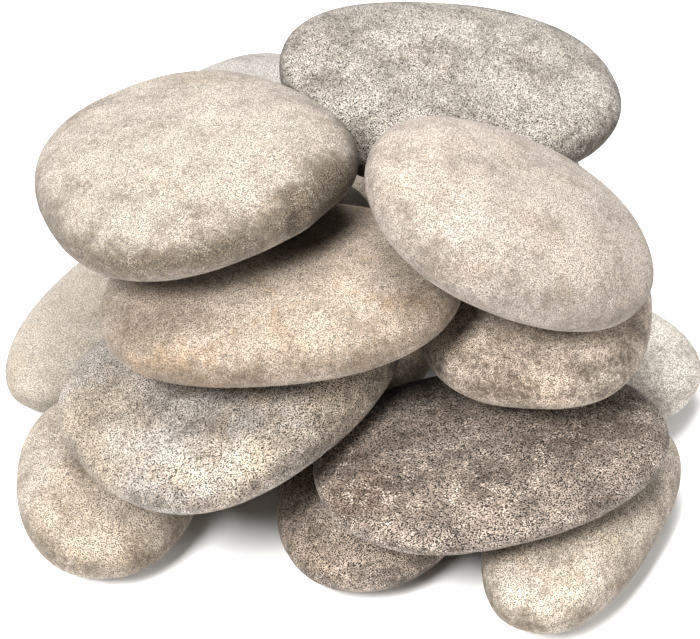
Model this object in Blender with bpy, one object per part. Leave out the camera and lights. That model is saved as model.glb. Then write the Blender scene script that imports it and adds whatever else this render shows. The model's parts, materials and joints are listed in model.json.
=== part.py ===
"""A heap of loose, water-worn massage stones, in metres, +Z up.

Every stone is a separate solid.  Each one is a sphere drawn out to the
flattened, slightly egg-shaped form of a river stone.  The stones of the lowest
layer lie flat on the ground.  Every later stone is let down onto the stones
already placed, and turned in pitch and roll until it lies as low as it can.
The origin is on the ground, below the middle of the heap.
"""

import math
from dataclasses import dataclass

import bmesh
import bpy
from mathutils import Matrix, Vector
from mathutils.bvhtree import BVHTree

COLLECTION_NAME = "massage_stones"

# Clearance between two stones that touch.
REST_GAP = 0.0004

# How deep the flat foot is worn into the underside of a stone on the ground.
FOOT_DEPTH = 0.0005

# How far a stone's middle moves towards its fuller end, as a share.
FULLER_END_PULL = 0.2

# Facets of one stone: around its edge, and from its underside to its top.
SEGMENTS = 28
RINGS = 12

# Settling: the first and last step of the search, and the steepest lean.
FIRST_TURN = math.radians(6.0)
LAST_TURN = math.radians(0.1)
STEEPEST_LEAN = math.radians(32.0)
SEARCH_DIRECTIONS = 12
FAR_AWAY = 1.0
UP = Vector((0.0, 0.0, 1.0))


@dataclass
class Stone:
    """One stone: its sizes, its form, its colour and its place in plan."""

    name: str
    length: float
    width: float
    thickness: float
    x: float
    y: float
    turn: float                 # degrees, counter-clockwise, of the long axis
    egg: float = 0.0            # how much wider the +x end is than the middle
    wedge: float = 0.0          # how much thicker the +x end is than the middle
    plan_power: float = 2.3     # 2 is an ellipse in plan, more is squarer
    edge_power: float = 2.3     # 2 is an elliptic edge, more is fuller
    colour: tuple = (0.42, 0.36, 0.29)
    roughness: float = 0.75
    on_ground: bool = False


TAN = (0.42, 0.36, 0.28)
BEIGE = (0.47, 0.41, 0.34)
PINK_BEIGE = (0.50, 0.43, 0.36)
GREY = (0.33, 0.30, 0.27)
LIGHT_GREY = (0.46, 0.42, 0.37)
DARK_GREY = (0.20, 0.17, 0.145)

# The stones in the order in which they are laid.
STONES = (
    # The lowest layer, flat on the ground.
    Stone("base_stone_centre", 0.062, 0.048, 0.026, -0.008, 0.024, 0,
          colour=TAN, on_ground=True),
    Stone("base_stone_front_middle", 0.071, 0.051, 0.024, 0.007, -0.034, 69,
          egg=0.01, plan_power=2.0, colour=GREY, on_ground=True),
    Stone("base_stone_front_right", 0.082, 0.044, 0.024, 0.057, -0.042, 69,
          egg=0.20, plan_power=2.5, colour=BEIGE, on_ground=True),
    Stone("base_stone_front_left", 0.066, 0.049, 0.024, -0.063, -0.030, 88,
          egg=0.12, plan_power=2.2, colour=TAN, on_ground=True),
    Stone("base_stone_right", 0.065, 0.042, 0.024, 0.064, 0.021, 148,
          egg=0.03, plan_power=2.4, colour=LIGHT_GREY, on_ground=True),
    Stone("base_stone_left", 0.083, 0.044, 0.023, -0.064, 0.036, 56,
          egg=0.15, colour=LIGHT_GREY, on_ground=True),
    Stone("base_stone_back_right", 0.072, 0.051, 0.028, 0.027, 0.070, 165,
          colour=BEIGE, on_ground=True),
    # The second layer.
    Stone("second_stone_front_right", 0.091, 0.059, 0.020, 0.034, -0.044, 14,
          egg=-0.10, plan_power=2.2, colour=DARK_GREY),
    Stone("second_stone_front_left", 0.091, 0.079, 0.026, -0.031, -0.026, 32,
          egg=-0.20, colour=BEIGE),
    Stone("second_stone_back_right", 0.070, 0.052, 0.029, 0.040, 0.050, 100,
          colour=TAN),
    Stone("second_stone_back_left", 0.074, 0.052, 0.026, -0.030, 0.048, 30,
          colour=GREY),
    # The third layer.
    Stone("third_stone_right", 0.075, 0.060, 0.024, 0.046, -0.013, 84,
          egg=0.06, plan_power=2.6, colour=TAN),
    Stone("third_stone_left", 0.091, 0.069, 0.025, -0.019, -0.024, -8,
          egg=-0.10, wedge=-0.06, plan_power=2.4, colour=TAN),
    Stone("third_stone_back_left", 0.074, 0.052, 0.028, -0.031, 0.046, 50,
          egg=-0.07, plan_power=2.4, colour=LIGHT_GREY),
    # The three stones on top.
    Stone("top_stone_back", 0.099, 0.065, 0.025, 0.027, 0.056, 22,
          egg=-0.16, plan_power=2.4, wedge=0.08, colour=GREY),
    Stone("top_stone_left", 0.090, 0.076, 0.029, -0.041, -0.003, -62,
          egg=0.12, plan_power=2.4, colour=BEIGE),
    Stone("top_stone_right", 0.080, 0.060, 0.031, 0.038, -0.023, 10,
          egg=-0.03, plan_power=2.2, colour=PINK_BEIGE),
)


def clear_scene():
    """Remove every object, so that a second run starts from nothing."""
    for thing in list(bpy.data.objects):
        bpy.data.objects.remove(thing, do_unlink=True)


def make_material(stone):
    """A plain stone finish in this stone's own colour."""
    material = bpy.data.materials.new(stone.name + "_finish")
    material.use_nodes = True
    shader = material.node_tree.nodes["Principled BSDF"]
    shader.inputs["Base Color"].default_value = (*stone.colour, 1.0)
    shader.inputs["Roughness"].default_value = stone.roughness
    shader.inputs["Metallic"].default_value = 0.0
    return material


def worn_point(direction, stone):
    """Move a point of the unit sphere to the surface of the worn stone."""
    plan, edge = stone.plan_power, stone.edge_power
    across = (abs(direction.x) ** plan + abs(direction.y) ** plan) ** (edge / plan)
    reach = (across + abs(direction.z) ** edge) ** (-1.0 / edge)
    x, y, z = direction * reach
    y *= 1.0 + stone.egg * x
    z *= 1.0 + stone.wedge * x
    middle = FULLER_END_PULL * (stone.egg + stone.wedge)
    return Vector((
        (x - middle) * stone.length / 2.0,
        y * stone.width / 2.0,
        z * stone.thickness / 2.0,
    ))


def cut_foot(bm):
    """Cut the underside flat, as wear leaves it, and close the cut."""
    lowest = min(vertex.co.z for vertex in bm.verts)
    cut = bmesh.ops.bisect_plane(
        bm,
        geom=bm.verts[:] + bm.edges[:] + bm.faces[:],
        dist=1e-7,
        plane_co=(0.0, 0.0, lowest + FOOT_DEPTH),
        plane_no=(0.0, 0.0, -1.0),
        clear_outer=True,
    )
    rim = [part for part in cut["geom_cut"] if isinstance(part, bmesh.types.BMEdge)]
    bmesh.ops.edgeloop_fill(bm, edges=rim)
    bmesh.ops.recalc_face_normals(bm, faces=bm.faces[:])


def make_mesh(stone):
    """The stone's own mesh, about its middle, lying flat and turned to 0."""
    bm = bmesh.new()
    bmesh.ops.create_uvsphere(bm, u_segments=SEGMENTS, v_segments=RINGS, radius=1.0)
    for vertex in bm.verts:
        vertex.co = worn_point(vertex.co, stone)
    if stone.on_ground:
        cut_foot(bm)
    mesh = bpy.data.meshes.new(stone.name)
    bm.to_mesh(mesh)
    bm.free()
    mesh.shade_smooth()
    mesh.materials.append(make_material(stone))
    return mesh


class Heap:
    """The stones laid so far, as one surface to rest on or lean against."""

    def __init__(self):
        self.points = []
        self.faces = []
        self.tree = None

    def add(self, mesh, place):
        """Add a stone's mesh where it lies, and renew the search tree."""
        first = len(self.points)
        self.points.extend(place @ vertex.co for vertex in mesh.vertices)
        for face in mesh.polygons:
            self.faces.append([first + index for index in face.vertices])
        self.tree = BVHTree.FromPolygons(self.points, self.faces)


class MovingStone:
    """A stone on its way to the heap, grown by the gap that it must keep."""

    def __init__(self, stone, mesh, heap):
        self.stone = stone
        self.heap = heap
        self.points = [vertex.co + REST_GAP * vertex.normal for vertex in mesh.vertices]
        self.foot = min(vertex.co.z for vertex in mesh.vertices)
        self.tree = BVHTree.FromPolygons(
            self.points, [list(face.vertices) for face in mesh.polygons])
        reach = max(point.length for point in self.points)
        self.bumps = [
            point for point in heap.points
            if math.hypot(point.x - stone.x, point.y - stone.y) < reach
        ]

    def rotation(self, pitch=0.0, roll=0.0):
        """Turn the stone in plan first, and then lean it."""
        lean = Vector((pitch, roll, 0.0))
        turning = Matrix.Rotation(math.radians(self.stone.turn), 3, "Z")
        return Matrix.Rotation(lean.length, 3, lean) @ turning if lean.length else turning

    def stand_off(self, rotation, middle, way_out):
        """How far along way_out the stone must stay back from this middle."""
        if not self.heap.points:
            return 0.0
        back = rotation.transposed()
        away = way_out * FAR_AWAY
        distance = -FAR_AWAY
        for point in self.points:
            here = middle + rotation @ point
            hit = self.heap.tree.ray_cast(here + away, -way_out)
            if hit[0]:
                distance = max(distance, (hit[0] - here).dot(way_out))
        local_way_out = back @ way_out
        for bump in self.bumps:
            start = back @ (bump - away - middle)
            hit = self.tree.ray_cast(start, local_way_out)
            if hit[0]:
                distance = max(distance, (start - hit[0]).dot(local_way_out) + FAR_AWAY)
        return distance

    def height(self, pitch, roll):
        """How high the middle of the stone lies when it touches the heap."""
        rotation = self.rotation(pitch, roll)
        middle = Vector((self.stone.x, self.stone.y, 0.0))
        above_ground = -min((rotation @ point).z for point in self.points)
        return max(above_ground, self.stand_off(rotation, middle, UP))

    def lay_on_heap(self):
        """Find the lean with the lowest middle, in ever smaller steps."""
        best = (0.0, 0.0)
        lowest = self.height(*best)
        step = FIRST_TURN
        while step > LAST_TURN:
            improved = False
            for index in range(SEARCH_DIRECTIONS):
                angle = 2.0 * math.pi * index / SEARCH_DIRECTIONS
                lean = (best[0] + step * math.cos(angle), best[1] + step * math.sin(angle))
                if math.hypot(*lean) > STEEPEST_LEAN:
                    continue
                height = self.height(*lean)
                if height < lowest:
                    best, lowest, improved = lean, height, True
            if not improved:
                step /= 2.0
        place = self.rotation(*best).to_4x4()
        place.translation = (self.stone.x, self.stone.y, lowest)
        return place

    def lay_on_ground(self):
        """Slide the stone in flat, from outside, until it meets the others."""
        rotation = self.rotation()
        middle = Vector((self.stone.x, self.stone.y, -self.foot))
        way_out = Vector((self.stone.x, self.stone.y, 0.0)).normalized()
        middle += way_out * max(0.0, self.stand_off(rotation, middle, way_out))
        place = rotation.to_4x4()
        place.translation = middle
        return place


def centre_on_origin(objects):
    """Move the heap in plan, so that the middle of its box is the origin."""
    corners = [
        thing.matrix_world @ vertex.co for thing in objects for vertex in thing.data.vertices
    ]
    middle_x = (min(c.x for c in corners) + max(c.x for c in corners)) / 2.0
    middle_y = (min(c.y for c in corners) + max(c.y for c in corners)) / 2.0
    for thing in objects:
        thing.location.x -= middle_x
        thing.location.y -= middle_y
    bpy.context.view_layer.update()


def build_heap():
    """Lay the stones one after another."""
    collection = bpy.data.collections.new(COLLECTION_NAME)
    bpy.context.scene.collection.children.link(collection)
    heap = Heap()
    objects = []
    for stone in STONES:
        mesh = make_mesh(stone)
        moving = MovingStone(stone, mesh, heap)
        place = moving.lay_on_ground() if stone.on_ground else moving.lay_on_heap()
        thing = bpy.data.objects.new(stone.name, mesh)
        thing.location = place.translation
        thing.rotation_euler = place.to_euler()
        collection.objects.link(thing)
        heap.add(mesh, place)
        objects.append(thing)
    bpy.context.view_layer.update()
    centre_on_origin(objects)


clear_scene()
build_heap()
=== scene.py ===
# %% [markdown]
# # A heap of massage stones
#
# Seventeen loose river stones, the flat kind that are warmed and laid on a back, heaped up on a table.
# Water has worn them smooth, but nobody has polished them, so they are matt, grainy and blotched.
#
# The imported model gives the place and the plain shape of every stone. This script gives each stone its
# fine surface and its own mineral colours, and then sets up the studio: a white table, soft light and
# a camera that looks down on the heap.

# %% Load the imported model
import json
import math

import bmesh
import bpy
from mathutils import Matrix, Vector, noise


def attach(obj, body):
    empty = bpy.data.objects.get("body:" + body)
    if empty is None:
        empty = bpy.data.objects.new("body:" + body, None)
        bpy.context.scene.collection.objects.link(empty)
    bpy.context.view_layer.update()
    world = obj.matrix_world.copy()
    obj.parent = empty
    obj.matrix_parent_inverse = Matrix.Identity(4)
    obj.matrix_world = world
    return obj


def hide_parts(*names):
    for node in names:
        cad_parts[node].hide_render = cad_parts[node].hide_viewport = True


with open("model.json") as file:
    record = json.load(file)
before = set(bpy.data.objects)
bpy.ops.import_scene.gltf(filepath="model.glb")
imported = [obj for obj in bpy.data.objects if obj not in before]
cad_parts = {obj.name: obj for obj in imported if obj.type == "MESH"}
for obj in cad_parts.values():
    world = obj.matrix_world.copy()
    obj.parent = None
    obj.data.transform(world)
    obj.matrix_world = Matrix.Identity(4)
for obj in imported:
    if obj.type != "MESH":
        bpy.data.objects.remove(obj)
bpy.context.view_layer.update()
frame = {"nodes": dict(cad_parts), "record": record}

MM = 0.001
scene = bpy.context.scene

# %% [markdown]
# ## The camera
#
# Small goods are best seen from arm's length through a long lens, because the near stones don't swell
# then. The camera looks at the middle of the heap, from 0.7 m away, and down by 40 degrees. Those
# three facts fix where it stands, so they are the values to change. The other way is to type a place
# and a rotation, but then nobody can see what the numbers mean.

# %% Camera
LOOKING_DOWN = math.radians(40.0)
CAMERA_DISTANCE = 0.7
AIM = Vector((-0.8 * MM, -7.6 * MM, 40.0 * MM))
LENS = 137.9

way_back = Vector((0.0, -math.cos(LOOKING_DOWN), math.sin(LOOKING_DOWN)))
camera_data = bpy.data.cameras.new("camera")
camera_data.lens = LENS
camera_data.clip_start = 0.05
camera_data.clip_end = 20.0
camera = bpy.data.objects.new("camera", camera_data)
camera.location = AIM + way_back * CAMERA_DISTANCE
camera.rotation_euler = (-way_back).to_track_quat("-Z", "Y").to_euler()
scene.collection.objects.link(camera)
scene.camera = camera
print("camera stands at", [round(value, 3) for value in camera.location])

# %% [markdown]
# ## The table and the light
#
# Goods like these stand on a white table. The table is a flat sheet far larger than the heap.
#
# Three wide lamps light it. The main one stands in front, to the left, and gives every stone a bright
# side and a dim one. One overhead makes the tops bright, and a weak one at the right keeps that side
# from going dark. Wide lamps are chosen, and not a sun, because their edges make the shadows soft. The
# room adds only a little light from all round: with more of it, the narrow gaps between the stones
# would turn grey, and the dark gaps are what makes the heap look solid. The Standard view keeps whites
# white, and its look deepens the darks.

# %% Table
TABLE_SIZE = 6.0


def plain_material(name, colour, roughness):
    """A material of one colour, for what isn't part of the heap."""
    material = bpy.data.materials.new(name)
    material.use_nodes = True
    shader = material.node_tree.nodes["Principled BSDF"]
    shader.inputs["Base Color"].default_value = (*colour, 1.0)
    shader.inputs["Roughness"].default_value = roughness
    return material


table_bm = bmesh.new()
bmesh.ops.create_grid(table_bm, x_segments=1, y_segments=1, size=TABLE_SIZE / 2.0)
table_mesh = bpy.data.meshes.new("table")
table_bm.to_mesh(table_mesh)
table_bm.free()
table_mesh.materials.append(plain_material("white_table", (0.9, 0.9, 0.9), 0.6))
table = bpy.data.objects.new("table", table_mesh)
scene.collection.objects.link(table)
print(f"the table is {TABLE_SIZE} m wide")

# %% Light
ROOM_LIGHT = 0.10
LAMPS = (
    # name, place in metres, size in metres, watts
    ("overhead_lamp", (-0.1, 0.1, 1.3), 0.7, 22.0),
    ("front_lamp", (-0.58, -0.9, 1.2), 0.5, 40.0),
    ("right_lamp", (1.1, -0.6, 0.7), 0.6, 9.0),
)

world = bpy.data.worlds.new("white_room")
world.use_nodes = True
background = world.node_tree.nodes["Background"]
background.inputs["Color"].default_value = (1.0, 1.0, 1.0, 1.0)
background.inputs["Strength"].default_value = ROOM_LIGHT
scene.world = world
for name, place, size, watts in LAMPS:
    lamp_data = bpy.data.lights.new(name, "AREA")
    lamp_data.size = size
    lamp_data.energy = watts
    lamp = bpy.data.objects.new(name, lamp_data)
    lamp.location = place
    lamp.rotation_euler = (AIM - Vector(place)).to_track_quat("-Z", "Y").to_euler()
    scene.collection.objects.link(lamp)
scene.view_settings.view_transform = "Standard"
scene.view_settings.look = "Medium High Contrast"
print(f"{len(LAMPS)} lamps and a white room of strength {ROOM_LIGHT}")

# %% [markdown]
# ## The shape of a worn stone
#
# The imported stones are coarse: a few hundred flat facets each. A river stone has no facets, and its
# outline is one smooth curve. So each stone is a copy of the coarse one, made smooth.
#
# The copy's triangles are loose, so they are welded first, and joined in pairs into four-sided faces,
# which subdivide more evenly. Subdivision Surface then makes the smooth skin. It has one fault here:
# it rounds a cage by pulling it inwards, and the stone would shrink away from its neighbours. The
# cage is therefore pushed out first, by as much as each of its corners was pulled in.

# %% A smooth copy
WELD = 0.01 * MM
FLAT_ENOUGH = math.radians(40.0)
SQUARE_ENOUGH = math.radians(60.0)
SMOOTH_LEVELS = 3
PUSHES = 3


def welded_cage(node):
    """A copy of a packed stone's mesh, welded, with its triangles joined in pairs."""
    bm = bmesh.new()
    bm.from_mesh(frame["nodes"][node].data)
    bmesh.ops.remove_doubles(bm, verts=bm.verts[:], dist=WELD)
    bmesh.ops.join_triangles(
        bm,
        faces=bm.faces[:],
        angle_face_threshold=FLAT_ENOUGH,
        angle_shape_threshold=SQUARE_ENOUGH,
    )
    cage = bpy.data.meshes.new(node + "_cage")
    bm.to_mesh(cage)
    bm.free()
    return cage


def subdivided(cage):
    """The smooth skin of a cage, as a mesh of its own."""
    holder = bpy.data.objects.new("holder", cage)
    scene.collection.objects.link(holder)
    smoothing = holder.modifiers.new("smooth", "SUBSURF")
    smoothing.levels = SMOOTH_LEVELS
    smoothing.render_levels = SMOOTH_LEVELS
    graph = bpy.context.evaluated_depsgraph_get()
    skin = bpy.data.meshes.new_from_object(holder.evaluated_get(graph))
    bpy.data.objects.remove(holder)
    return skin


def smooth_skin(node):
    """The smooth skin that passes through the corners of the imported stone."""
    cage = welded_cage(node)
    corners = [vertex.co.copy() for vertex in cage.vertices]
    for _ in range(PUSHES):
        skin = subdivided(cage)
        for index, corner in enumerate(corners):
            cage.vertices[index].co += corner - skin.vertices[index].co
    return subdivided(cage)


trial = smooth_skin("top_stone_left")
print(f"a smooth stone has {len(trial.polygons)} faces")

# %% [markdown]
# ## Dents and pits
#
# Water wears the softer grains away first, so the surface isn't quite even: it has broad, shallow
# dents, smaller ones in them, and here and there a pit where a grain fell out. These are moves of the
# mesh, and not a picture of dents, so they show in the outline too. Each point moves inwards only,
# along its normal, so no stone grows into the one beside it, and no point goes below the table.
#
# The top stone on the left has hollows of its own besides: two narrow ones, one above the other, that
# make a notch, and a wide one that flattens its right end. The finish darkens these hollows as well,
# as painted shade.

# %% Dents
DENTS = (
    # width, depth
    (26.0 * MM, 0.50 * MM),
    (9.0 * MM, 0.18 * MM),
    (3.2 * MM, 0.07 * MM),
)
PIT_SPACING = 5.5 * MM
PIT_WIDTH = 1.5 * MM
PIT_DEPTH = 0.16 * MM
TABLE_TOP = 0.0
HOLLOWS = {
    # stone: each hollow's middle, radius and depth
    "top_stone_left": (
        (Vector((-13.5, -41.0, 105.0)) * MM, 4.5 * MM, 1.2 * MM),
        (Vector((-12.5, -43.5, 100.0)) * MM, 5.0 * MM, 1.6 * MM),
        (Vector((-5.0, -35.0, 103.0)) * MM, 13.0 * MM, 1.8 * MM),
    ),
}


def dent_depth(place):
    """How far the surface has worn back at a place, from all the sizes of dent."""
    return sum(depth * (0.5 + 0.5 * noise.noise(place / width)) for width, depth in DENTS)


def pit_depth(place):
    """How deep a pit is at a place: nothing between pits, most in a pit's middle."""
    distances, _ = noise.voronoi(place / PIT_SPACING)
    nearness = 1.0 - distances[0] * PIT_SPACING / PIT_WIDTH
    return PIT_DEPTH * math.sqrt(max(0.0, nearness))


def hollow_depth(place, hollows):
    """How deep the hollows of one stone are at a place."""
    depth = 0.0
    for middle, radius, deepest in hollows:
        share = (place - middle).length / radius
        if share < 1.0:
            depth += deepest * (1.0 - share * share) ** 2
    return depth


def wear(mesh, offset, hollows):
    """Dents and pits a stone's skin. The offset gives each stone dents of its own."""
    worn = []
    for vertex in mesh.vertices:
        place = vertex.co + offset
        depth = dent_depth(place) + pit_depth(place) + hollow_depth(vertex.co, hollows)
        worn.append(vertex.co - vertex.normal * depth)
    for vertex, place in zip(mesh.vertices, worn):
        place.z = max(place.z, TABLE_TOP)
        vertex.co = place
    mesh.update()


deepest_wear = PIT_DEPTH + sum(depth for _, depth in DENTS)
print(f"dents and pits go at most {deepest_wear / MM:.2f} mm deep")

# %% [markdown]
# ## The finish of a stone
#
# Seen from near by, such a stone isn't one colour. It is a body colour with pale and dark clouds a
# few centimetres wide, blotches inside those, stains where water has carried iron in, and over
# everything a fine grain, like coarse paper, of light and dark mineral specks. The dark specks sit
# thickest on the flanks, because the flat faces are rubbed most. The hollows get more of them too,
# as painted shade.
#
# A picture wrapped round the stone would show a seam and a stretched pole. Noise in solid space has
# neither: the stone is cut from the pattern, as a real one is from its rock. So every layer below is
# a noise on Object coordinates, and only its width, its strength and its colours change.

# %% Node helpers
def add_node(tree, kind, **settings):
    """A new node, with its own settings such as an operation or a blend type."""
    node = tree.nodes.new(kind)
    for name, value in settings.items():
        setattr(node, name, value)
    return node


def noise_of(tree, place, width, detail, roughness, distortion):
    """Noise whose lumps are about this wide, in metres."""
    node = add_node(tree, "ShaderNodeTexNoise")
    node.inputs["Scale"].default_value = 1.0 / width
    node.inputs["Detail"].default_value = detail
    node.inputs["Roughness"].default_value = roughness
    node.inputs["Distortion"].default_value = distortion
    tree.links.new(place, node.inputs["Vector"])
    return node.outputs["Fac"]


def between(tree, value, low, high, bottom=0.0, top=1.0):
    """Spread a value from low..high to bottom..top, smoothly, and no further."""
    node = add_node(tree, "ShaderNodeMapRange", interpolation_type="SMOOTHSTEP")
    tree.links.new(value, node.inputs["Value"])
    node.inputs["From Min"].default_value = low
    node.inputs["From Max"].default_value = high
    node.inputs["To Min"].default_value = bottom
    node.inputs["To Max"].default_value = top
    return node.outputs["Result"]


def times(tree, value, other):
    """One value times another, where the other may be a plain number."""
    node = add_node(tree, "ShaderNodeMath", operation="MULTIPLY")
    tree.links.new(value, node.inputs[0])
    if isinstance(other, (int, float)):
        node.inputs[1].default_value = other
    else:
        tree.links.new(other, node.inputs[1])
    return node.outputs["Value"]


def plus(tree, value, other):
    """The sum of two values."""
    node = add_node(tree, "ShaderNodeMath", operation="ADD")
    tree.links.new(value, node.inputs[0])
    tree.links.new(other, node.inputs[1])
    return node.outputs["Value"]


def blended(tree, share, below, above, blend_type="MIX"):
    """One colour over another. Either may be a plain colour or another node's."""
    node = add_node(tree, "ShaderNodeMix", data_type="RGBA", blend_type=blend_type)
    if isinstance(share, float):
        node.inputs["Factor"].default_value = share
    else:
        tree.links.new(share, node.inputs["Factor"])
    for socket, colour in ((node.inputs[6], below), (node.inputs[7], above)):
        if isinstance(colour, tuple):
            socket.default_value = (*colour, 1.0)
        else:
            tree.links.new(colour, socket)
    return node.outputs[2]


print("node helpers are ready")

# %% [markdown]
# ### The layers, from the widest to the finest
#
# Three sizes of noise are added up into one value: patches, grit, and grains no wider than a grain
# of sand. Where the sum is high a dark grain shows, where it is low a pale one, and between them the
# body of the stone. The wide noise makes the grains of one kind gather in patches, which is what a
# mixed rock looks like. Colours laid over each other in soft clouds would look like felt.
#
# Two layers lie over that. Pale flecks gather in bands, as they do where a vein runs through the rock,
# and the finest grains make the colour a little brighter or a good deal darker. The finest grains are
# also the bump of the surface, and the dark ones lie a little deeper in it.
#
# The widths are the same on every stone, because they come from the same river. What differs is the
# colours, and how much there is of each kind of grain. So one function makes every finish, and a
# short row of values says what is special about a stone.

# %% The finish
# Each noise: its width, how many finer sizes are in it, how strong those are, and its twist.
CLOUDS = (30.0 * MM, 3.0, 0.5, 0.0)
STAINS = (14.4 * MM, 6.0, 0.62, 0.5)
PATCHES = (9.0 * MM, 5.0, 0.62, 0.0)
FLECK_BANDS = (6.0 * MM, 6.0, 0.7, 1.2)
GRIT = (1.6 * MM, 4.0, 0.7, 0.0)
FLECKS = (0.35 * MM, 1.0, 0.6, 0.0)
GRAINS = (0.3 * MM, 1.0, 0.6, 0.0)

# The part of a noise's range over which what it paints goes from none to all.
CLOUD_SPREAD = (0.4, 0.6)
STAIN_SPREAD = (0.5, 0.68)
FLECK_BAND_SPREAD = (0.46, 0.64)
FLECK_SPREAD = (0.44, 0.64)
GRIT_SPREAD = (0.3, 0.7)
GRAIN_SPREAD = (0.41, 0.59)

# Each noise's part in the sum. The body shows within a short reach of the sum's middle. Beyond that
# comes a soft edge, and past the edge a grain is all pale or all dark.
PATCH_PART = 0.24
GRIT_PART = 0.20
GRAIN_PART = 0.56
MIDDLE = 0.5
BODY_REACH = 0.06
PALE_EDGE = 0.06
DARK_EDGE = 0.07

# How much the finest grains brighten for each part that they darken, and how the surface feels.
BRIGHTER = 0.7
SPECULAR = 0.25
SHEEN = 0.06
SHEEN_ROUGHNESS = 0.6
ROUGHNESS = (0.78, 0.95)
BUMP_HEIGHT = 0.3 * MM
BUMP_STRENGTH = 0.6
DARK_GRAINS_SUNK = 0.7


def stone_finish(name, look, shift):
    """The layered mineral finish of one stone. The shift gives it a pattern of its own."""
    material = bpy.data.materials.new(name)
    material.use_nodes = True
    tree = material.node_tree
    shader = tree.nodes["Principled BSDF"]
    shader.inputs["Specular IOR Level"].default_value = SPECULAR
    shader.inputs["Sheen Weight"].default_value = SHEEN
    shader.inputs["Sheen Roughness"].default_value = SHEEN_ROUGHNESS

    coordinates = add_node(tree, "ShaderNodeTexCoord")
    mapping = add_node(tree, "ShaderNodeMapping", vector_type="POINT")
    mapping.inputs["Location"].default_value = shift
    mapping.inputs["Rotation"].default_value = (0.0, 0.0, look.get("turn", 0.0))
    mapping.inputs["Scale"].default_value = look.get("draw", (1.0, 1.0, 1.0))
    tree.links.new(coordinates.outputs["Object"], mapping.inputs["Vector"])
    place = mapping.outputs["Vector"]

    # The rock: patches, grit and grains added up, and more of it on the flanks, and in the hollows as
    # painted shade.
    flank_and_painted_shade = add_node(tree, "ShaderNodeAttribute", attribute_name="flank_and_painted_shade").outputs["Fac"]
    patches = noise_of(tree, place, *PATCHES)
    grit = noise_of(tree, place, *GRIT)
    grains = noise_of(tree, place, *GRAINS)
    rock = plus(tree, times(tree, patches, PATCH_PART), times(tree, grit, GRIT_PART))
    rock = plus(tree, rock, times(tree, grains, GRAIN_PART))
    rock = plus(tree, rock, times(tree, flank_and_painted_shade, look["flank_and_painted_shade"]))

    # The body, clouded and stained.
    clouds = noise_of(tree, place, *CLOUDS)
    colour = blended(tree, between(tree, clouds, *CLOUD_SPREAD), look["body"], look["other"])
    stains = noise_of(tree, place, *STAINS)
    stains = times(tree, between(tree, stains, *STAIN_SPREAD), look["stains"])
    colour = blended(tree, stains, colour, look["stain"])

    # The pale and the dark grains.
    pale_from = MIDDLE - BODY_REACH * (1.0 - look["pale_share"])
    pale = between(tree, rock, pale_from, pale_from - PALE_EDGE)
    colour = blended(tree, pale, colour, look["pale"])
    dark_from = MIDDLE + BODY_REACH * (1.0 - look["dark_share"])
    dark = between(tree, rock, dark_from, dark_from + DARK_EDGE)
    colour = blended(tree, dark, colour, look["dark"])

    # Bands of pale flecks.
    fleck_bands = noise_of(tree, place, *FLECK_BANDS)
    fleck_grains = noise_of(tree, place, *FLECKS)
    flecks = times(tree, between(tree, fleck_bands, *FLECK_BAND_SPREAD), look["flecks"])
    flecks = times(tree, between(tree, fleck_grains, *FLECK_SPREAD), flecks)
    colour = blended(tree, flecks, colour, look["pale"])

    # The finest grains, darker and brighter.
    darkest = 1.0 - look["grain"]
    brightest = 1.0 + BRIGHTER * look["grain"]
    bright = between(tree, grains, *GRAIN_SPREAD, darkest, brightest)
    tone = add_node(tree, "ShaderNodeCombineColor")
    for channel in tone.inputs:
        tree.links.new(bright, channel)
    colour = blended(tree, 1.0, colour, tone.outputs["Color"], "MULTIPLY")
    tree.links.new(colour, shader.inputs["Base Color"])

    # The feel of the surface.
    roughness = between(tree, grit, *GRIT_SPREAD, *ROUGHNESS)
    tree.links.new(roughness, shader.inputs["Roughness"])
    height = plus(tree, grains, times(tree, dark, -DARK_GRAINS_SUNK))
    bump = add_node(tree, "ShaderNodeBump")
    bump.inputs["Strength"].default_value = BUMP_STRENGTH
    bump.inputs["Distance"].default_value = BUMP_HEIGHT
    tree.links.new(height, bump.inputs["Height"])
    tree.links.new(bump.outputs["Normal"], shader.inputs["Normal"])
    return material


print(f"the finish mixes noises from {CLOUDS[0] / MM:.0f} mm down to {GRAINS[0] / MM:.1f} mm wide")
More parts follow.
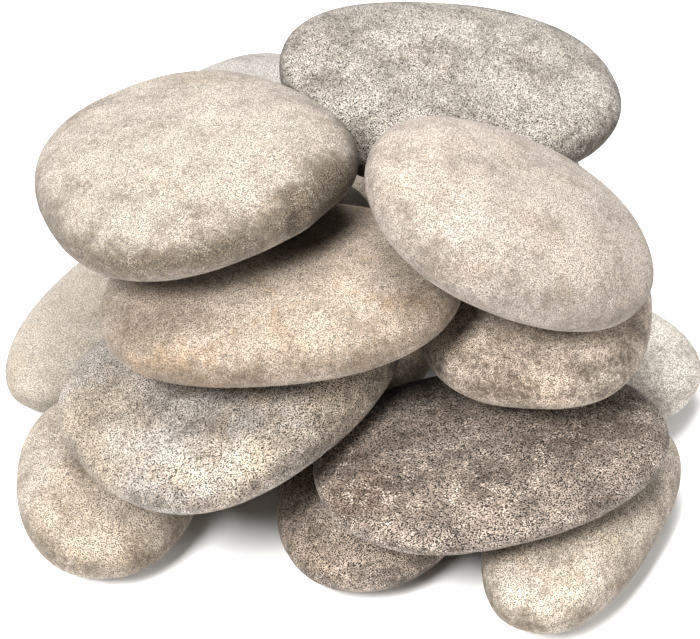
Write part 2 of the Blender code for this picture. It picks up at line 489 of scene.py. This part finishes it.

# %% [markdown]
# ### What is special about each stone
#
# The body colours run from a warm tan to a cool grey, and one stone is dark and brownish. The stone
# at the right is painted paler than it is, as painted light that makes up for the shade it stands in.
# Colours are in linear light, from 0 to 1. A share, or the strength of stains, flecks and grain, also
# runs from 0, none, to 1, all over. The flank value is how much is added to the rock's sum on a flank,
# and in a hollow, where it is painted shade. The dark stone's pattern is turned, and drawn out along
# one way by "draw".

# %% The finishes
TAN_STAIN = (0.30, 0.217, 0.135)
RUST_STAIN = (0.30, 0.188, 0.094)
LOOKS = {
    "top_stone_back": dict(
        body=(0.264, 0.240, 0.212), other=(0.320, 0.293, 0.259), pale=(0.464, 0.433, 0.392),
        dark=(0.083, 0.068, 0.053), pale_share=0.6, dark_share=0.45, stain=TAN_STAIN, stains=0.1,
        flecks=0.5, flank_and_painted_shade=0.10, grain=0.95),
    "top_stone_left": dict(
        body=(0.285, 0.247, 0.208), other=(0.306, 0.271, 0.232), pale=(0.432, 0.386, 0.338),
        dark=(0.105, 0.083, 0.06), pale_share=0.5, dark_share=0.25, stain=TAN_STAIN, stains=0.2,
        flecks=0.4, flank_and_painted_shade=0.14, grain=0.71),
    "top_stone_right": dict(
        body=(0.317, 0.272, 0.234), other=(0.333, 0.292, 0.253), pale=(0.439, 0.389, 0.340),
        dark=(0.143, 0.116, 0.094), pale_share=0.45, dark_share=0.3, stain=TAN_STAIN, stains=0.25,
        flecks=0.25, flank_and_painted_shade=0.05, grain=0.66),
    "third_stone_left": dict(
        body=(0.277, 0.226, 0.180), other=(0.305, 0.257, 0.210), pale=(0.422, 0.367, 0.308),
        dark=(0.112, 0.083, 0.056), pale_share=0.5, dark_share=0.35, stain=RUST_STAIN, stains=0.45,
        flecks=0.35, flank_and_painted_shade=0.05, grain=0.71),
    "third_stone_right": dict(
        body=(0.431, 0.357, 0.288), other=(0.467, 0.404, 0.338), pale=(0.678, 0.584, 0.491),
        dark=(0.068, 0.049, 0.034), pale_share=0.5, dark_share=0.5, stain=RUST_STAIN, stains=0.2,
        flecks=0.35, flank_and_painted_shade=0.05, grain=0.84),
    "third_stone_back_left": dict(
        body=(0.297, 0.276, 0.254), other=(0.312, 0.289, 0.269), pale=(0.389, 0.367, 0.344),
        dark=(0.18, 0.158, 0.135), pale_share=0.4, dark_share=0.3, stain=TAN_STAIN, stains=0.1,
        flecks=0.2, flank_and_painted_shade=0.02, grain=0.58),
    "second_stone_front_left": dict(
        body=(0.360, 0.304, 0.241), other=(0.325, 0.299, 0.272), pale=(0.541, 0.465, 0.378),
        dark=(0.105, 0.086, 0.068), pale_share=0.5, dark_share=0.45, stain=TAN_STAIN, stains=0.4,
        flecks=0.4, flank_and_painted_shade=0.04, grain=0.95),
    "second_stone_front_right": dict(
        body=(0.159, 0.126, 0.102), other=(0.214, 0.176, 0.148), pale=(0.485, 0.422, 0.357),
        dark=(0.034, 0.025, 0.019), pale_share=0.3, dark_share=0.45, stain=(0.09, 0.058, 0.042),
        stains=0.5, flecks=0.75, flank_and_painted_shade=0.0, grain=0.97, turn=0.3, draw=(0.7, 1.0, 1.0)),
    "base_stone_left": dict(
        body=(0.276, 0.244, 0.205), other=(0.294, 0.265, 0.225), pale=(0.373, 0.336, 0.294),
        dark=(0.173, 0.143, 0.112), pale_share=0.4, dark_share=0.25, stain=TAN_STAIN, stains=0.25,
        flecks=0.2, flank_and_painted_shade=0.03, grain=0.53),
    "base_stone_front_left": dict(
        body=(0.339, 0.285, 0.227), other=(0.362, 0.316, 0.266), pale=(0.478, 0.421, 0.355),
        dark=(0.12, 0.094, 0.068), pale_share=0.5, dark_share=0.35, stain=RUST_STAIN, stains=0.3,
        flecks=0.35, flank_and_painted_shade=0.07, grain=0.79),
    "base_stone_front_middle": dict(
        body=(0.234, 0.187, 0.149), other=(0.309, 0.256, 0.214), pale=(0.598, 0.514, 0.427),
        dark=(0.045, 0.034, 0.025), pale_share=0.45, dark_share=0.45, stain=TAN_STAIN, stains=0.25,
        flecks=0.6, flank_and_painted_shade=0.03, grain=0.97),
    "base_stone_front_right": dict(
        body=(0.385, 0.332, 0.270), other=(0.409, 0.357, 0.304), pale=(0.541, 0.480, 0.406),
        dark=(0.105, 0.083, 0.06), pale_share=0.5, dark_share=0.2, stain=TAN_STAIN, stains=0.35,
        flecks=0.3, flank_and_painted_shade=0.07, grain=0.75),
    # Painted light: this stone's colours are paler than the stone, to make up for the shade of the heap
    # it stands in.
    "base_stone_right": dict(
        body=(0.561, 0.523, 0.460), other=(0.585, 0.545, 0.488), pale=(0.764, 0.718, 0.652),
        dark=(0.188, 0.165, 0.135), pale_share=0.5, dark_share=0.35, stain=TAN_STAIN, stains=0.1,
        flecks=0.3, flank_and_painted_shade=0.04, grain=0.71),
}
# The stones inside and behind are more of the same, in tan, grey and beige.
LOOKS["base_stone_centre"] = LOOKS["third_stone_left"]
LOOKS["base_stone_back_right"] = LOOKS["base_stone_front_right"]
LOOKS["second_stone_back_right"] = LOOKS["second_stone_front_left"]
LOOKS["second_stone_back_left"] = LOOKS["base_stone_left"]
print(f"{len(LOOKS)} finishes are described")

# %% [markdown]
# ## Making the stones
#
# A stone's flat way is the direction in which it is thinnest. How far a point's normal turns away
# from it says whether the point is on a flat face or on the flank, and the finish needs that for its
# specks. A hollow gets more of the same value, which darkens it as painted shade. The value is
# worked out once for each point and kept in the mesh as an attribute, so it moves with the stone.
#
# The flat way is found by asking which way most of the surface faces. The stone's faces are summed in
# a small matrix, and a way that is turned by the matrix again and again ends up as that one.

# %% Flanks, and painted shade in the hollows
# How much a hollow's flank value rises for each metre of its depth: this is painted shade.
PAINTED_SHADE_PER_DEPTH = 0.6 / MM
TURNS_OF_THE_WAY = 30


def flat_way(mesh):
    """The direction in which a stone is thinnest: the most common of its normals."""
    spread = Matrix(((0.0,) * 3,) * 3)
    for face in mesh.polygons:
        for row in range(3):
            for column in range(3):
                spread[row][column] += face.area * face.normal[row] * face.normal[column]
    way = Vector((0.0, 0.0, 1.0))
    for _ in range(TURNS_OF_THE_WAY):
        way = (spread @ way).normalized()
    return way


def mark_flanks_and_painted_shade(mesh, hollows):
    """Keep, for each point, 0 on a flat face to 1 on the flank, and more in a hollow as painted shade.
    """
    way = flat_way(mesh)
    attribute = mesh.attributes.new("flank_and_painted_shade", "FLOAT", "POINT")
    for vertex in mesh.vertices:
        # Painted shade: the deeper a hollow is, the darker the finish makes it.
        painted_hollow_shade = PAINTED_SHADE_PER_DEPTH * hollow_depth(vertex.co, hollows)
        attribute.data[vertex.index].value = 1.0 - abs(vertex.normal.dot(way)) + painted_hollow_shade


print("the flat way of top_stone_left is", [round(value, 2) for value in flat_way(trial)])

# %% [markdown]
# The stones are made one after another: the smooth skin, its wear, its flanks and its finish. No two
# stones may show the same dents or the same grain, so each one is worn and coloured from another part
# of the noise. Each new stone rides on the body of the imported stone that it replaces, and it is called
# a pebble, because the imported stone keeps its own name.

# %% Make every stone
# Where in the noise the first stone lies, and how far on the next one does.
DENT_STEP = Vector((0.37, 0.0, -0.23))
DENT_START = Vector((0.0, 0.11, 0.0))
PATTERN_STEP = Vector((0.173, -0.119, 0.071))
SLOTS = {part["node"]: part["material_slot"] for part in frame["record"]["subparts"]}
BODY_OF = {
    node: body
    for body, nodes in frame["record"]["behaviour"]["bodies"].items()
    for node in nodes
}

for number, node in enumerate(sorted(frame["nodes"])):
    skin = smooth_skin(node)
    hollows = HOLLOWS.get(node, ())
    wear(skin, DENT_START + number * DENT_STEP, hollows)
    mark_flanks_and_painted_shade(skin, hollows)
    skin.name = node + "_skin"
    skin.shade_smooth()
    pebble = bpy.data.objects.new(node.replace("stone", "pebble"), skin)
    scene.collection.objects.link(pebble)
    skin.materials.clear()
    skin.materials.append(stone_finish(SLOTS[node], LOOKS[node], number * PATTERN_STEP))
    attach(pebble, BODY_OF[node])
    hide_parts(node)
    print(f"{pebble.name}: {len(skin.polygons)} faces")
